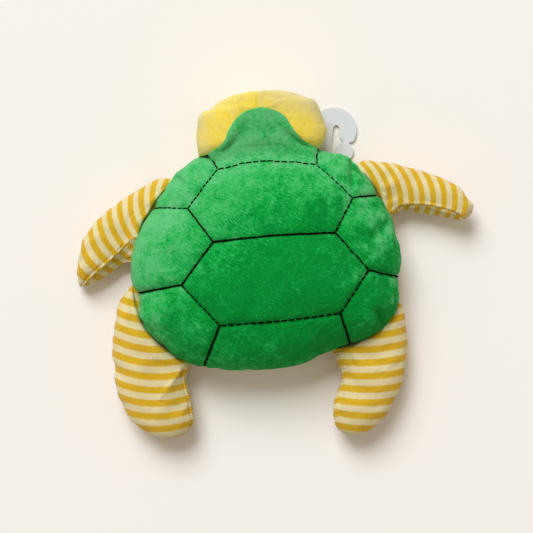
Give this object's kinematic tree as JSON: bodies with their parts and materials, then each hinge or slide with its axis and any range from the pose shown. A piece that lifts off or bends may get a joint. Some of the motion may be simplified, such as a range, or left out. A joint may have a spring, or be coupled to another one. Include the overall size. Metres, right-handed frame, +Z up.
{
  "type": "stuffed toy turtle",
  "caption": "Stuffed toy turtle: a domed green plush shell with quilted outlines, a padded head, striped padded flippers and legs on sewn roots, and a flat plastic hang hook.",
  "frame": {"origin": "middle of the belly's flat rest face, under the middle of the shell", "axes": "+Z up from the floor, +Y to the head, +X to the turtle's right"},
  "size_m": [0.2975, 0.2592, 0.0661],
  "materials": {
    "green_plush": "soft pile",
    "yellow_plush": "soft pile",
    "striped_jersey": "knitted, matte",
    "plain_jersey": "knitted, matte",
    "stuffing": "loose fibre",
    "black_thread": "matte",
    "black_plastic": "glossy",
    "grey_plastic": "satin"
  },
  "bodies": {
    "shell": {"shell_top_panel": "green_plush", "belly_panel": "plain_jersey", "shell_filling": "stuffing", "front_outline_stitching": "black_thread", "back_outline_stitching": "black_thread", "front_left_spoke_stitching": "black_thread", "front_right_spoke_stitching": "black_thread", "side_left_spoke_stitching": "black_thread", "side_right_spoke_stitching": "black_thread", "waist_left_spoke_stitching": "black_thread", "waist_right_spoke_stitching": "black_thread", "back_left_spoke_stitching": "black_thread", "back_right_spoke_stitching": "black_thread", "hook_tag_pin": "grey_plastic"},
    "head": {"head_left_panel": "yellow_plush", "head_right_panel": "yellow_plush", "head_filling": "stuffing", "head_hood": "green_plush", "left_eye": "black_plastic", "right_eye": "black_plastic"},
    "left_flipper": {"left_flipper_upper_panel": "striped_jersey", "left_flipper_lower_panel": "striped_jersey", "left_flipper_filling": "stuffing"},
    "right_flipper": {"right_flipper_upper_panel": "striped_jersey", "right_flipper_lower_panel": "striped_jersey", "right_flipper_filling": "stuffing"},
    "left_leg": {"left_leg_upper_panel": "striped_jersey", "left_leg_lower_panel": "striped_jersey", "left_leg_filling": "stuffing"},
    "right_leg": {"right_leg_upper_panel": "striped_jersey", "right_leg_lower_panel": "striped_jersey", "right_leg_filling": "stuffing"},
    "hook": {"hang_hook": "grey_plastic"}
  },
  "joints": [
    {"name": "left_flipper_root", "type": "hinge", "parent": "shell", "child": "left_flipper", "pos_m": [-0.08526, 0.04266, 0.018], "axis": [0.5271, 0.8498, 0], "range_deg": [-40, 40], "stiffness_Nm_per_rad": 0.06},
    {"name": "right_flipper_root", "type": "hinge", "parent": "shell", "child": "right_flipper", "pos_m": [0.08478, 0.04948, 0.018], "axis": [0.5218, -0.8531, 0], "range_deg": [-40, 40], "stiffness_Nm_per_rad": 0.06},
    {"name": "left_leg_root", "type": "hinge", "parent": "shell", "child": "left_leg", "pos_m": [-0.09174, -0.04448, 0.018], "axis": [-0.5171, 0.8559, 0], "range_deg": [-35, 40], "stiffness_Nm_per_rad": 0.1},
    {"name": "right_leg_root", "type": "hinge", "parent": "shell", "child": "right_leg", "pos_m": [0.07461, -0.05949, 0.018], "axis": [-0.8411, -0.541, 0], "range_deg": [-35, 40], "stiffness_Nm_per_rad": 0.1},
    {"name": "head_nod", "type": "hinge", "parent": "shell", "child": "head", "pos_m": [0.00036, 0.08743, 0.018], "axis": [1, -0.0053, 0], "range_deg": [-18, 15], "stiffness_Nm_per_rad": 0.15},
    {"name": "hook_swing", "type": "hinge", "parent": "shell", "child": "hook", "pos_m": [0.04709, 0.07449, 0.0008], "axis": [0, 0, 1], "range_deg": [-20, 20]}
  ]
}
